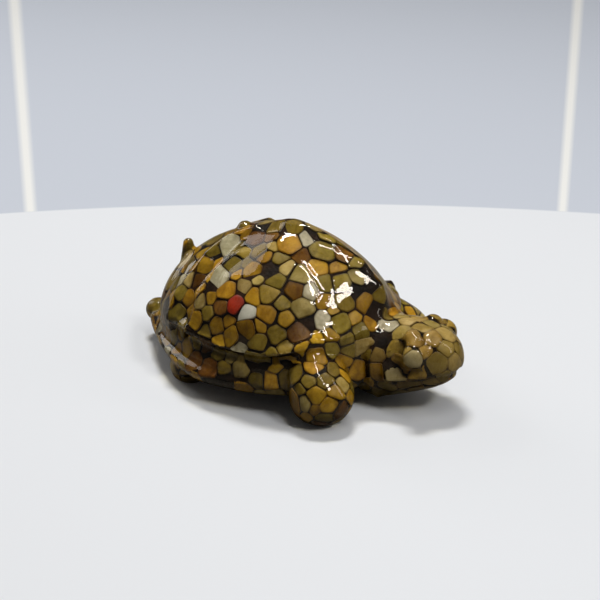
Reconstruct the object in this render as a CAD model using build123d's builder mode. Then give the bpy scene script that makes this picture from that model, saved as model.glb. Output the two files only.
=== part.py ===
from build123d import *
from functools import partial
from math import copysign, cos, dist, pi, radians, sin, sqrt, tan
from random import Random
import os

os.makedirs("parts", exist_ok=True)

# Turtle figurine of clear cast resin packed with stone gravel.
# Millimetres. +X is forward, towards the head, +Y is the turtle's left, +Z is up.
# The origin is on the table, under the middle of the overall length.

# Reach of the rim from its middle, and of the head and the tail nub beyond it
rim_rear_reach = 33.4
rim_front_reach = 31.0
rim_half_width = 25.3
rim_height = 6.2
rim_lip = 0.8
head_reach = 15.1
tail_nub_overhang = 0.3

# Domed carapace above the ledge line
ledge_height = 14.0
ledge_step = 0.25
shell_tilt = 8.0
dome_height = 20.6
dome_rear_set_in = 6.5
dome_front_set_in = 1.2
dome_side_set_in = 2.8
dome_apex_forward = 6.5
dome_pivot_forward = 1.5

# Pegs on the line of the back, and the nub at the tail end of the rim
rear_peg_from_tail = 12.0
rear_peg_radius = 1.3
rear_peg_rise = 4.0
middle_peg_from_tail = 27.3
middle_peg_radius = 2.0
middle_peg_rise = 1.2
peg_root_depth = 8.0
peg_root_spread = 1.1
tail_nub_radius = 2.5
tail_nub_height = 6.2

# Belly
belly_clearance = 2.2

# Head and neck
head_length = 24.5
head_half_width = 9.3
head_half_height = 8.9
head_middle_height = 11.7
eye_radius = 2.4

# Front legs
front_leg_behind_rim = 7.7
front_leg_set_in = 7.4
front_leg_height = 16.4
front_foot_radius = 6.8
front_shoulder_back = 5.2
front_shoulder_inward = 3.6

# Rear legs
rear_leg_ahead_of_rim = 22.0
rear_leg_set_in = 10.1
rear_leg_height = 9.4
rear_foot_radius = 4.4
rear_thigh_forward = 3.0
rear_thigh_inward = 2.4

# Resin and gravel
skin_thickness = 0.35
chip_cover = 0.7
chip_thickness = 1.6
chip_taper = 16.0
core_clearance = 0.35
chip_gap = 0.5
least_chip_edge = 0.3
least_chip_half_width = 0.75
shell_chip_pitch = 4.1
belly_chip_pitch = 4.8
head_chip_pitch = 4.2
leg_chip_pitch = 3.2
joint_margin = 0.3

core_depth = chip_cover + chip_thickness + core_clearance
overall_length = tail_nub_overhang + rim_rear_reach + rim_front_reach + head_reach
tail_x = -overall_length / 2
nose_x = overall_length / 2
rim_centre_x = tail_x + tail_nub_overhang + rim_rear_reach
dome_pivot_x = rim_centre_x + dome_pivot_forward
dome_apex_from_rim = dome_pivot_forward + dome_apex_forward
dome_rear_reach = rim_rear_reach + dome_apex_from_rim - dome_rear_set_in
dome_front_reach = rim_front_reach - dome_apex_from_rim - dome_front_set_in
dome_half_width = rim_half_width - dome_side_set_in
front_leg_x = rim_centre_x + rim_front_reach - front_leg_behind_rim
rear_leg_x = rim_centre_x - rim_rear_reach + rear_leg_ahead_of_rim
front_leg_spread = rim_half_width - front_leg_set_in
rear_leg_spread = rim_half_width - rear_leg_set_in

# Shape shares
rear_draw_share = 0.7
dome_front_share = 0.74
dome_rear_share = 0.6
dome_side_share = 0.9
# How much the dome's outline is pinched to a point ahead, how early up the dome, and behind
front_pinch_share = 0.75
front_pinch_rise_share = 0.4
rear_pinch_share = 0.2
skirt_flare_share = 1.8
skirt_lip_share = 0.16
skirt_level_shares = (0, 0.06, 0.16, 0.35, 0.65, 0.94)
dome_level_shares = (0.04, 0.2, 0.42, 0.62, 0.8, 0.92, 0.98)
# Belly rings as shares of the rim outline, and how flat and how square the dish is below them
belly_ring_shares = (1.0, 0.985, 0.95, 0.88, 0.76, 0.6, 0.42, 0.24, 0.1)
dish_flat_share = 3.0
dish_square_share = 0.45
belly_core_ring_shares = ((0.82, 0), (0.6, 1))
belly_stone_rise_share = 0.35
# Leg stations from foot to root: place, shift along, shift aside, two radii
front_foot_station_shares = ((0.0, 0.0, 0.0, 0.36, 0.36), (0.06, 0.0, 0.0, 0.62, 0.62), (0.2, 0.0, 0.0, 0.9, 0.9))
rear_foot_station_shares = ((0.0, 0.0, 0.0, 0.6, 0.6), (0.08, 0.0, 0.0, 0.82, 0.82), (0.24, 0.0, 0.0, 0.98, 0.98))
leg_station_shares = (
    (0.43, 0.0, 0.0, 1.0, 1.0),
    (0.66, 0.3, 0.2, 0.9, 0.88),
    (0.86, 0.7, 0.7, 0.66, 0.6),
    (1.0, 1.0, 1.0, 0.4, 0.36),
)
# Head stations from nose to neck root: place, half width, half height, drop of the middle
head_station_shares = (
    (0.0, 0.2, 0.2, 0.01),
    (0.04, 0.41, 0.4, 0.0),
    (0.1, 0.58, 0.56, 0.0),
    (0.18, 0.74, 0.7, 0.0),
    (0.3, 0.87, 0.81, 0.05),
    (0.46, 0.96, 0.93, 0.12),
    (0.63, 1.0, 1.0, 0.22),
    (0.8, 0.96, 0.95, 0.3),
    (1.0, 0.74, 0.72, 0.32),
)
# Place of an eye's middle as shares of the head's length, half width and half height
eye_back_share = 0.376
eye_spread_share = 0.7
eye_rise_share = 0.264
slope_core_share = 1.6
least_radius_share = 0.25
pitch_spread_shares = (0.76, 1.1)
chip_reach_share = 0.72
chip_neighbour_share = 3
least_chip_share = 0.55
chip_trim_share = 0.9

outline_count = 32
height_step_count = 400
chip_side_count = 9
throw_count = 6000
gravel_seed = 7

# Stone colours and their shares in each part of the figure
stone_colours = ("ochre", "olive", "cream", "grey", "brown")
shell_mix_shares = (0.42, 0.26, 0.13, 0.1, 0.09)
head_mix_shares = (0.3, 0.42, 0.16, 0.03, 0.09)
leg_mix_shares = (0.42, 0.3, 0.2, 0, 0.08)
belly_mix_shares = (0.4, 0.3, 0.2, 0, 0.1)
# Single stones that stand out: shares of the length, of the half width and of the dome's top height
accent_place_shares = (
    ("red", -0.022, -0.82, 0.6),
    ("white", 0.022, -0.79, 0.65),
    ("ochre", 0.073, -0.82, 0.6),
    ("cream", 0.158, -0.58, 0.73),
    ("brown", 0.152, -0.68, 0.66),
    ("grey", 0.221, -0.59, 0.53),
)

UP = Axis.Z
DOWN = Axis((0, 0, 0), (0, 0, -1))
BACK = Axis((0, 0, 0), (-1, 0, 0))


# Outlines of the carapace, in the local axes of the level's own plane
def turn_angles():
    return [2 * pi * i / outline_count for i in range(outline_count)]


def rim_point(angle, inset):
    ahead = cos(angle)
    reach = (rim_rear_reach if ahead < 0 else rim_front_reach) - inset
    draw = 1 - rear_draw_share * min(0, ahead) ** 2
    return rim_centre_x - dome_pivot_x + reach * ahead, (rim_half_width - inset) * sin(angle) * draw


def pinched(share, power):
    return copysign(abs(share) ** power, share)


def dome_point(angle, level, inset):
    ahead = cos(angle)
    fullness = max(0, 1 - level ** 2)
    if ahead < 0:
        reach = (dome_rear_reach - inset) * fullness ** dome_rear_share
        pinch = 1 + rear_pinch_share * level
    else:
        reach = (dome_front_reach - inset) * fullness ** dome_front_share
        pinch = 1 + front_pinch_share * level ** front_pinch_rise_share
    half_width = (dome_half_width - inset) * fullness ** dome_side_share
    return dome_apex_forward + reach * pinched(ahead, pinch), half_width * pinched(sin(angle), pinch)


def skirt_point(angle, level, inset):
    lip = rim_lip * max(0, 1 - level / skirt_lip_share) ** 2
    rim = rim_point(angle, inset + lip)
    ledge = dome_point(angle, 0, inset + ledge_step)
    inward = 1 - (1 - level) ** skirt_flare_share
    return tuple(a + (b - a) * inward for a, b in zip(rim, ledge))


def level_plane(level):
    tilt = radians(shell_tilt) * level
    height = rim_height + (ledge_height - rim_height) * level
    return Plane(origin=(dome_pivot_x, 0, height),
                 x_dir=(cos(tilt), 0, sin(tilt)), z_dir=(-sin(tilt), 0, cos(tilt)))


# Where a point lies against the body's outline, drawn out by outset
def ledge_level(x, z):
    slope = tan(radians(shell_tilt)) * (x - dome_pivot_x)
    return (z - rim_height) / (ledge_height - rim_height + slope)


def belly_share(z):
    depth = min(1, (rim_height - z) / (rim_height - belly_clearance))
    return (1 - depth ** (1 / dish_square_share)) ** (1 / dish_flat_share)


def inside_outline(outline, x, y):
    inside = False
    for (x0, y0), (x1, y1) in zip(outline, outline[1:] + outline[:1]):
        if (y0 > y) != (y1 > y) and x < x0 + (x1 - x0) * (y - y0) / (y1 - y0):
            inside = not inside
    return inside


def inside_body(point, outset):
    x, y, z = point
    level = ledge_level(x, z)
    if z < rim_height:
        share = belly_share(z)
        outline = [(share * u, share * v) for u, v in (skirt_point(a, 0, -outset) for a in turn_angles())]
        return inside_outline(outline, x - dome_pivot_x, y)
    if level < 1:
        outline = [skirt_point(a, level, -outset) for a in turn_angles()]
        return inside_outline(outline, x - dome_pivot_x, y)
    local = level_plane(1).to_local_coords(Vector(x, y, z))
    dome_level = max(0, local.Z / (dome_height + outset))
    outline = [dome_point(a, dome_level, -outset) for a in turn_angles()]
    return inside_outline(outline, local.X, local.Y)


def back_height(x):
    """Height of the line of the back over a place on the length."""
    heights = [(ledge_height + dome_height) * i / height_step_count for i in range(height_step_count)]
    return max(z for z in heights if inside_body((x, 0, z), 0))


# Closed forms of the cast parts, each drawn in by inset, with a flat root that stays in place
def carapace_form(inset):
    with BuildPart() as form:
        for level in skirt_level_shares:
            with BuildSketch(level_plane(level)):
                with BuildLine():
                    Spline(*[skirt_point(a, level, inset) for a in turn_angles()], periodic=True)
                make_face()
        for level in dome_level_shares:
            with BuildSketch(level_plane(1).offset((dome_height - inset) * level)):
                with BuildLine():
                    Spline(*[dome_point(a, level, inset) for a in turn_angles()], periodic=True)
                make_face()
        loft()
    return form.part


def belly_form(inset):
    depth = rim_height - belly_clearance - inset
    with BuildPart() as form:
        for plan in belly_ring_shares:
            below = (1 - plan ** dish_flat_share) ** dish_square_share
            with BuildSketch(level_plane(0).offset(-depth * below)):
                with BuildLine():
                    outline = [skirt_point(a, 0, inset) for a in turn_angles()]
                    Spline(*[(plan * x, plan * y) for x, y in outline], periodic=True)
                make_face()
        loft()
    return form.part


def belly_core_form():
    depth = rim_height - belly_clearance - core_depth - core_clearance
    with BuildPart() as form:
        for plan, below in belly_core_ring_shares:
            with BuildSketch(level_plane(0).offset(-depth * below)):
                with BuildLine():
                    outline = [skirt_point(a, 0, 0) for a in turn_angles()]
                    Spline(*[(plan * x, plan * y) for x, y in outline], periodic=True)
                make_face()
        loft()
    return form.part


def leg_form(inset, foot, x, spread, height, radius, back, inward):
    """Leg from its flat foot up to a root inside the body; spread and inward are negative on the right."""
    with BuildPart() as form:
        for place, along, aside, *round_shares in (*foot, *leg_station_shares):
            with BuildSketch(Plane.XY.offset(inset + (height - inset) * place)):
                with Locations((x - back * along, spread - inward * aside)):
                    Ellipse(*[max(radius * r - inset, radius * r * least_radius_share)
                              for r in round_shares])
        loft()
    return form.part


def front_leg_form(side, inset):
    return leg_form(inset, front_foot_station_shares, front_leg_x, side * front_leg_spread,
                    front_leg_height, front_foot_radius, front_shoulder_back, side * front_shoulder_inward)


def rear_leg_form(side, inset):
    return leg_form(inset, rear_foot_station_shares, rear_leg_x, side * rear_leg_spread,
                    rear_leg_height, rear_foot_radius, -rear_thigh_forward, side * rear_thigh_inward)


def head_form(inset):
    with BuildPart() as form:
        for place, wide, high, drop in head_station_shares:
            x = nose_x - inset - (head_length - inset) * place
            z = head_middle_height - head_half_height * drop
            sizes = (head_half_width * wide, head_half_height * high)
            with BuildSketch(Plane(origin=(x, 0, z), x_dir=(0, 1, 0), z_dir=(1, 0, 0))):
                Ellipse(*[max(size - inset, size * least_radius_share) for size in sizes])
        loft()
    return form.part


def sewn(faces):
    return Solid(Shell(faces))


def open_skin(form, root):
    """Thin resin skin of a form, open at its root."""
    *outer, outer_root = form(0).faces().sort_by(root)
    *inner, inner_root = form(skin_thickness).faces().sort_by(root)
    return sewn([*outer, *inner, Face(outer_root.outer_wire(), [inner_root.outer_wire()])])


# Gravel: sites thrown on a form, cells cut halfway to the neighbours, stones just under the skin
def throw_sites(form, pitch, random, keep):
    faces = form(0).faces().filter_by(GeomType.BSPLINE)
    areas = [face.area for face in faces]
    sites = []
    for _ in range(throw_count):
        face = random.choices(faces, areas)[0]
        u, v = random.random(), random.random()
        point = tuple(face.position_at(u, v))
        spacing = pitch * random.uniform(*pitch_spread_shares)
        if all(dist(point, other) > spacing for other, _ in sites) and keep(point):
            sites.append((point, tuple(face.normal_at(u, v))))
    return sites


def dot(a, b):
    return sum(p * q for p, q in zip(a, b))


def clip_outline(outline, across, limit):
    kept = []
    over = [dot(corner, across) - limit for corner in outline]
    for i, (x0, y0) in enumerate(outline):
        x1, y1 = outline[i - 1]
        if over[i] * over[i - 1] < 0:
            share = over[i] / (over[i] - over[i - 1])
            kept.append((x0 + (x1 - x0) * share, y0 + (y1 - y0) * share))
        if over[i] <= 0:
            kept.append((x0, y0))
    return kept


def stone_outline(plane, sites, pitch, reach, floor, turn):
    """Outline of one stone in its own plane, clear of its neighbours and of the floor."""
    point, along, aside = (tuple(v) for v in (plane.origin, plane.x_dir, plane.y_dir))
    corners = [turn + 2 * pi * i / chip_side_count for i in range(chip_side_count)]
    outline = [(reach * cos(a), reach * sin(a)) for a in corners]
    for other, _ in sites:
        apart = dist(point, other)
        if 0 < apart < pitch * chip_neighbour_share:
            way = [b - a for a, b in zip(point, other)]
            across = (dot(way, along), dot(way, aside))
            outline = clip_outline(outline, across, apart * (apart - chip_gap) / 2)
    outline = clip_outline(outline, (-along[2], -aside[2]), point[2] - floor)
    return [p for i, p in enumerate(outline) if dist(p, outline[i - 1]) > least_chip_edge]


def half_width(outline):
    """Distance from a stone's middle to its nearest side."""
    sides = zip(outline, outline[1:] + outline[:1])
    return min((abs(x0 * y1 - x1 * y0) / dist((x0, y0), (x1, y1)) for (x0, y0), (x1, y1) in sides), default=0)


def corners_fit(plane, outline, fits):
    corners = [Vector(x, y, depth) for x, y in outline for depth in (chip_cover, chip_cover + chip_thickness)]
    return all(fits(tuple(plane.from_local_coords(corner))) for corner in corners)


def cut_stone(plane, outline):
    with BuildPart() as stone:
        with BuildSketch(plane.offset(chip_cover)):
            Polygon(*outline, align=None)
        extrude(amount=chip_thickness, taper=chip_taper)
    return stone.part


def lay_stones(region, form, pitch, round_radius, mix, seed, keep, fits, floor=0):
    """Stones of one cast part as (region, colour, point, solid)."""
    random = Random(gravel_seed * seed)
    sites = throw_sites(form, pitch, random, keep)
    reach = min(pitch * chip_reach_share, sqrt(2 * round_radius * (chip_cover - skin_thickness)))
    stones = []
    for (x, y, z), (nx, ny, nz) in sites:
        plane = Plane(origin=(x, y, z), z_dir=(-nx, -ny, -nz))
        outline = stone_outline(plane, sites, pitch, reach, floor, random.uniform(0, pi))
        colour = random.choices(stone_colours, mix)[0]
        share = 1
        while share > least_chip_share and not corners_fit(plane, outline, fits):
            share *= chip_trim_share
            outline = [(u * chip_trim_share, v * chip_trim_share) for u, v in outline]
        if share > least_chip_share and half_width(outline) > least_chip_half_width:
            stones.append((region(x, z), colour, (x, y, z), cut_stone(plane, outline)))
    return stones


def save(name, shape):
    shape.label = name
    export_step(shape, f"parts/{name}.step")


# Cast parts
body = sewn([*carapace_form(0).faces().sort_by(DOWN)[:-1], *belly_form(0).faces().sort_by(UP)[:-1]])

with BuildPart() as shell_clear_resin:
    add(open_skin(carapace_form, DOWN))
save("shell_clear_resin", shell_clear_resin.part)

with BuildPart() as belly_clear_resin:
    add(open_skin(belly_form, UP))
save("belly_clear_resin", belly_clear_resin.part)

with BuildPart() as shell_core:
    add(carapace_form(core_depth * slope_core_share))
save("shell_core", shell_core.part)

with BuildPart() as belly_core:
    add(belly_core_form())
save("belly_core", belly_core.part)

with BuildPart() as head_clear_resin:
    add(open_skin(head_form, BACK))
    add(body, mode=Mode.SUBTRACT)
save("head_clear_resin", head_clear_resin.part)

with BuildPart() as head_core:
    add(head_form(core_depth))
    add(body, mode=Mode.SUBTRACT)
save("head_core", head_core.part)

legs = (
    ("front_right_leg", partial(front_leg_form, -1), front_foot_radius),
    ("front_left_leg", partial(front_leg_form, 1), front_foot_radius),
    ("rear_right_leg", partial(rear_leg_form, -1), rear_foot_radius),
    ("rear_left_leg", partial(rear_leg_form, 1), rear_foot_radius),
)
for name, form, _ in legs:
    with BuildPart() as leg_clear_resin:
        add(open_skin(form, UP))
        add(body, mode=Mode.SUBTRACT)
    save(f"{name}_clear_resin", leg_clear_resin.part)
    with BuildPart() as leg_core:
        add(form(core_depth))
        add(body, mode=Mode.SUBTRACT)
    save(f"{name}_core", leg_core.part)

# Pegs on the back, the tail nub and the eyes, each standing on the cast form under it
for name, x, radius, rise in (
        ("rear_back_peg", tail_x + rear_peg_from_tail, rear_peg_radius, rear_peg_rise),
        ("middle_back_peg", tail_x + middle_peg_from_tail, middle_peg_radius, middle_peg_rise)):
    with BuildPart() as peg:
        with Locations((x, 0, back_height(x) + rise - radius)):
            Sphere(radius)
            Cone(radius + peg_root_spread, radius, peg_root_depth,
                 align=(Align.CENTER, Align.CENTER, Align.MAX))
        add(body, mode=Mode.SUBTRACT)
    save(name, peg.part)

with BuildPart() as tail_nub:
    with Locations((tail_x + tail_nub_radius, 0, tail_nub_height)):
        Sphere(tail_nub_radius)
    add(body, mode=Mode.SUBTRACT)
save("tail_nub", tail_nub.part)

with BuildPart() as right_eye:
    with Locations((nose_x - head_length * eye_back_share, -head_half_width * eye_spread_share,
                    head_middle_height + head_half_height * eye_rise_share)):
        Sphere(eye_radius)
    add(head_form(0), mode=Mode.SUBTRACT)
save("right_eye", right_eye.part)

with BuildPart() as left_eye:
    mirror(right_eye.part, about=Plane.XZ)
save("left_eye", left_eye.part)


# Gravel of each cast part
def in_body(point):
    return inside_body(point, -skin_thickness)


def clear_of_body(point):
    return not inside_body(point, joint_margin)


stones = lay_stones(lambda x, z: "skirt" if ledge_level(x, z) < 1 else "dome", carapace_form,
                    shell_chip_pitch, dome_half_width, shell_mix_shares, 1,
                    lambda p: p[2] > rim_height + chip_cover + chip_thickness / 2, in_body,
                    floor=rim_height + chip_cover)
stones += lay_stones(lambda x, z: "belly", belly_form, belly_chip_pitch, dome_half_width, belly_mix_shares, 2,
                     lambda p: p[2] < belly_clearance + belly_stone_rise_share * (rim_height - belly_clearance),
                     in_body)
stones += lay_stones(lambda x, z: "head", head_form, head_chip_pitch, head_half_height, head_mix_shares, 3,
                     clear_of_body, clear_of_body)
for seed, (name, form, radius) in enumerate(legs, 4):
    stones += lay_stones(lambda x, z: name, form, leg_chip_pitch, radius, leg_mix_shares, seed,
                         clear_of_body, clear_of_body, floor=skin_thickness)

on_dome = [i for i, stone in enumerate(stones) if stone[0] == "dome"]
for accent, long, wide, high in accent_place_shares:
    place = (long * overall_length, wide * rim_half_width, high * (ledge_height + dome_height))
    nearest = min(on_dome, key=lambda i: dist(stones[i][2], place))
    on_dome.remove(nearest)
    region, _, point, solid = stones[nearest]
    stones[nearest] = (region, accent, point, solid)

for region, colour in sorted({stone[:2] for stone in stones}):
    group = [solid for r, c, _, solid in stones if (r, c) == (region, colour)]
    save(f"{region}_{colour}_stones", Compound(children=group))
print(f"{len(stones)} stones")
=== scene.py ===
import logging
import math
import random
from dataclasses import dataclass, replace
from enum import Enum
from typing import Any, Iterable

import bpy
import numpy as np
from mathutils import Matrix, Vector
from mathutils.bvhtree import BVHTree
from mathutils.kdtree import KDTree


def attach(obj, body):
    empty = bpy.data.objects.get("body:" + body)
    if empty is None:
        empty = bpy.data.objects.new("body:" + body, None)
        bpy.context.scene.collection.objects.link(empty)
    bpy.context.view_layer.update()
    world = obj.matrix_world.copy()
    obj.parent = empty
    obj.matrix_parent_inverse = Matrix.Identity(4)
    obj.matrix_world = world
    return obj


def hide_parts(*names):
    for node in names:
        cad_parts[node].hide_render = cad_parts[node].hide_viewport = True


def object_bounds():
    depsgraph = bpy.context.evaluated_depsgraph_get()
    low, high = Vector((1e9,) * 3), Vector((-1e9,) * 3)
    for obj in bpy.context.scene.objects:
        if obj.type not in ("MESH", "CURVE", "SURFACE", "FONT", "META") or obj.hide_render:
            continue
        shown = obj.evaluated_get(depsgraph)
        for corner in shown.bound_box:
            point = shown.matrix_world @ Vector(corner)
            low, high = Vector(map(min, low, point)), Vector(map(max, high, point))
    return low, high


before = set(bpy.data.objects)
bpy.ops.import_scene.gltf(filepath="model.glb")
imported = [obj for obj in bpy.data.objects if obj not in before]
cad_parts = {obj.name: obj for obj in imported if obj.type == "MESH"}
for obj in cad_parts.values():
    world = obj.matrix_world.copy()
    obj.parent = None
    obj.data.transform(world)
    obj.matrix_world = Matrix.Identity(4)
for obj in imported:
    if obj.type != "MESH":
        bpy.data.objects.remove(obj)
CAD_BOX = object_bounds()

logging.basicConfig(level=logging.INFO, format="%(message)s")
LOG = logging.getLogger("turtle_figurine")

MM = 0.001
PHOTO_SIDE = 600
SENSOR_WIDTH = 36.0
SIDES = (-1, 1)

Point = tuple[float, float, float]
Rgb = tuple[float, float, float]
Span = tuple[float, float]
Stations = tuple[tuple[float, ...], ...]
Form = tuple[np.ndarray, list[tuple[int, ...]]]


# Mesh helpers, all in millimetres until a mesh is made

def turns(count: int) -> np.ndarray:
    """Returns evenly spaced angles of a full turn."""
    return np.linspace(0, 2 * math.pi, count, endpoint=False)


def level_ring(x: float, y: float, z: float, long: float, wide: float, count: int) -> np.ndarray:
    """Draws a level oval ring.

    Args:
        x: its middle's place along the figure.
        y: its middle's place across.
        z: its height.
        long: its radius along.
        wide: its radius across.
        count: how many points it has.

    Returns:
        The points.
    """
    turn = turns(count)
    return np.stack([x + long * np.cos(turn), y + wide * np.sin(turn), np.full(count, z)], 1)


def table_curve(rows: Iterable[tuple[float, ...]], places: np.ndarray) -> np.ndarray:
    """Reads a table of stations as smooth curves.

    Args:
        rows: stations, each its place followed by its values.
        places: the places to read at.

    Returns:
        One row of values for each place.
    """
    table = np.array(list(rows), float)
    at, values = table[:, 0], table[:, 1:]
    slope = np.gradient(values, at, axis=0)
    i = np.clip(np.searchsorted(at, places, "right") - 1, 0, len(at) - 2)
    span = (at[i + 1] - at[i])[:, None]
    t = (places[:, None] - at[i][:, None]) / span
    return ((2 * t**3 - 3 * t**2 + 1) * values[i] + (t**3 - 2 * t**2 + t) * span * slope[i]
            + (3 * t**2 - 2 * t**3) * values[i + 1] + (t**3 - t**2) * span * slope[i + 1])


def closed_form(rings: list[np.ndarray]) -> Form:
    """Closes a stack of rings with a fan at each end.

    Args:
        rings: rings of equal point counts, from one end of the form to the other.

    Returns:
        The points and the faces.
    """
    count = len(rings[0])
    points = np.concatenate([*rings, rings[0].mean(0)[None], rings[-1].mean(0)[None]])
    faces: list[tuple[int, ...]] = []
    for ring in range(len(rings) - 1):
        low, high = ring * count, (ring + 1) * count
        faces += [(low + i, low + (i + 1) % count, high + (i + 1) % count, high + i) for i in range(count)]
    first, last = len(rings) * count, len(rings) * count + 1
    top = (len(rings) - 1) * count
    faces += [(first, (i + 1) % count, i) for i in range(count)]
    faces += [(last, top + i, top + (i + 1) % count) for i in range(count)]
    return points, faces


def joined(forms: Iterable[Form]) -> Form:
    """Puts closed forms together.

    Args:
        forms: the forms.

    Returns:
        The points and the faces of all of them.
    """
    points: list[np.ndarray] = []
    faces: list[tuple[int, ...]] = []
    start = 0
    for form_points, form_faces in forms:
        points.append(form_points)
        faces += [tuple(start + i for i in face) for face in form_faces]
        start += len(form_points)
    return np.concatenate(points), faces


def linked(name: str, data: bpy.types.ID) -> bpy.types.Object:
    """Makes an object and links it to the scene.

    Args:
        name: the object's name.
        data: its mesh, camera or lamp.

    Returns:
        The new object.
    """
    made = bpy.data.objects.new(name, data)
    bpy.context.scene.collection.objects.link(made)
    return made


def made_mesh(name: str, form: Form) -> bpy.types.Object:
    """Makes a smooth-shaded object.

    Args:
        name: the object's name.
        form: its points in millimetres, and its faces.

    Returns:
        The new object, linked to the scene.
    """
    points, faces = form
    mesh = bpy.data.meshes.new(name)
    mesh.from_pydata((points * MM).tolist(), [], faces)
    mesh.update()
    mesh.polygons.foreach_set("use_smooth", [True] * len(mesh.polygons))
    return linked(name, mesh)


def points_and_normals(mesh: bpy.types.Mesh) -> tuple[np.ndarray, np.ndarray]:
    """Reads a mesh's points.

    Args:
        mesh: the mesh.

    Returns:
        Its points, in millimetres, and their normals.
    """
    places, normals = np.zeros((2, len(mesh.vertices) * 3))
    mesh.vertices.foreach_get("co", places)
    mesh.vertex_normals.foreach_get("vector", normals)
    return places.reshape(-1, 3) / MM, normals.reshape(-1, 3)


def move_points(mesh: bpy.types.Mesh, places: np.ndarray) -> None:
    """Moves a mesh's points to places in millimetres."""
    mesh.vertices.foreach_set("co", (places * MM).astype(np.float32).ravel())
    mesh.update()


# Forms of the casting, in millimetres and the same as the solids'

@dataclass(frozen=True)
class Carapace:
    """Domed shell with its flared skirt, and the shallow belly under it."""

    rear_reach: float = 33.4
    front_reach: float = 31.0
    half_width: float = 25.3
    centre_x: float = -6.2
    tail_draw: float = 0.7
    rim_height: float = 6.2
    lip: float = 0.8
    lip_share: float = 0.16
    flare: float = 1.8
    ledge_height: float = 14.0
    ledge_step: float = 0.25
    tilt: float = math.radians(8.0)
    pivot_x: float = -4.7
    dome_height: float = 20.6
    dome_rear: float = 34.9
    dome_front: float = 21.8
    dome_half_width: float = 22.5
    apex_forward: float = 6.5
    # How slowly the dome draws in towards its top, at its rear, its front and its sides
    rear_fullness: float = 0.6
    front_fullness: float = 0.74
    side_fullness: float = 0.9
    rear_pinch: float = 0.2
    front_pinch: float = 0.75
    belly_clearance: float = 2.2
    belly_fullness: float = 0.45
    belly_shares: tuple[float, ...] = (1.0, 0.992, 0.98, 0.96, 0.92, 0.85, 0.75, 0.6, 0.4, 0.2, 0.05)
    turn_count: int = 160
    skirt_rings: int = 16
    dome_rings: int = 30

    def rim(self, inset: float) -> np.ndarray:
        """Draws the rim's outline.

        Args:
            inset: how far it is drawn in.

        Returns:
            Its points from the pivot.
        """
        turn = turns(self.turn_count)
        ahead = np.cos(turn)
        reach = np.where(ahead < 0, self.rear_reach, self.front_reach) - inset
        draw = 1 - self.tail_draw * np.minimum(0, ahead) ** 2
        return np.stack([self.centre_x - self.pivot_x + reach * ahead,
                         (self.half_width - inset) * np.sin(turn) * draw], 1)

    def dome(self, level: float, inset: float = 0.0) -> np.ndarray:
        """Draws the dome's outline.

        Args:
            level: 0 at its foot and 1 at its top.
            inset: how far it is drawn in.

        Returns:
            Its points from the pivot.
        """
        turn = turns(self.turn_count)
        ahead = np.cos(turn)
        full = max(0.0, 1 - level ** 2)
        behind = ahead < 0
        reach = np.where(behind, (self.dome_rear - inset) * full ** self.rear_fullness,
                         (self.dome_front - inset) * full ** self.front_fullness)
        pinch = np.where(behind, 1 + self.rear_pinch * level, 1 + self.front_pinch * level ** 0.4)
        wide = (self.dome_half_width - inset) * full ** self.side_fullness
        along, aside = (np.copysign(np.abs(way) ** pinch, way) for way in (ahead, np.sin(turn)))
        return np.stack([self.apex_forward + reach * along, wide * aside], 1)

    def placed(self, outline: np.ndarray, level: float, lift: float = 0.0) -> np.ndarray:
        """Puts an outline on the tilted plane of a skirt level.

        Args:
            outline: points from the pivot.
            level: 0 at the rim and 1 at the ledge.
            lift: height above that plane.

        Returns:
            The points in the figure's own axes.
        """
        tilt = self.tilt * level
        height = self.rim_height + (self.ledge_height - self.rim_height) * level
        along, across = outline[:, 0], outline[:, 1]
        return np.stack([self.pivot_x + along * math.cos(tilt) - lift * math.sin(tilt), across,
                         height + along * math.sin(tilt) + lift * math.cos(tilt)], 1)

    def shell(self) -> Form:
        """Builds the shell.

        Returns:
            Its closed form.
        """
        rings = []
        for level in np.linspace(0, 1, self.skirt_rings):
            lip = self.lip * max(0.0, 1 - level / self.lip_share) ** 2
            inward = 1 - (1 - level) ** self.flare
            rim, ledge = self.rim(lip), self.dome(0.0, self.ledge_step)
            rings.append(self.placed(rim + (ledge - rim) * inward, level))
        for level in np.sin(np.linspace(0.02, 0.995, self.dome_rings) * math.pi / 2):
            rings.append(self.placed(self.dome(level), 1.0, self.dome_height * level))
        return closed_form(rings)

    def belly(self) -> Form:
        """Builds the belly.

        Returns:
            Its closed form.
        """
        rings = []
        for share in self.belly_shares:
            below = (self.rim_height - self.belly_clearance) * (1 - share ** 3) ** self.belly_fullness
            rings.append(self.placed(self.rim(self.lip) * share, 0.0, -below))
        return closed_form(rings)


@dataclass(frozen=True)
class Leg:
    """Stubby left leg that stands on a flat foot and runs up into the body."""

    x: float
    y: float
    height: float
    radius: float
    back: float
    inward: float
    # Each station: place up the leg, shift back, shift inward and two radii, as shares
    foot: Stations
    stations: Stations = (
        (0.43, 0.0, 0.0, 1.0, 1.0), (0.66, 0.3, 0.2, 0.9, 0.88), (0.86, 0.7, 0.7, 0.66, 0.6),
        (1.0, 1.0, 1.0, 0.4, 0.36))
    turn_count: int = 48
    ring_count: int = 30

    def on(self, side: int) -> "Leg":
        """Returns the same leg on the left, 1, or the right, -1."""
        return replace(self, y=side * self.y, inward=side * self.inward)

    def form(self) -> Form:
        """Builds the leg.

        Returns:
            Its closed form.
        """
        places = np.linspace(0, 1, self.ring_count)
        return closed_form([
            level_ring(self.x - self.back * along, self.y - self.inward * aside, self.height * place,
                       self.radius * long, self.radius * wide, self.turn_count)
            for place, (along, aside, long, wide) in zip(places, table_curve((*self.foot, *self.stations), places))])


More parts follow.
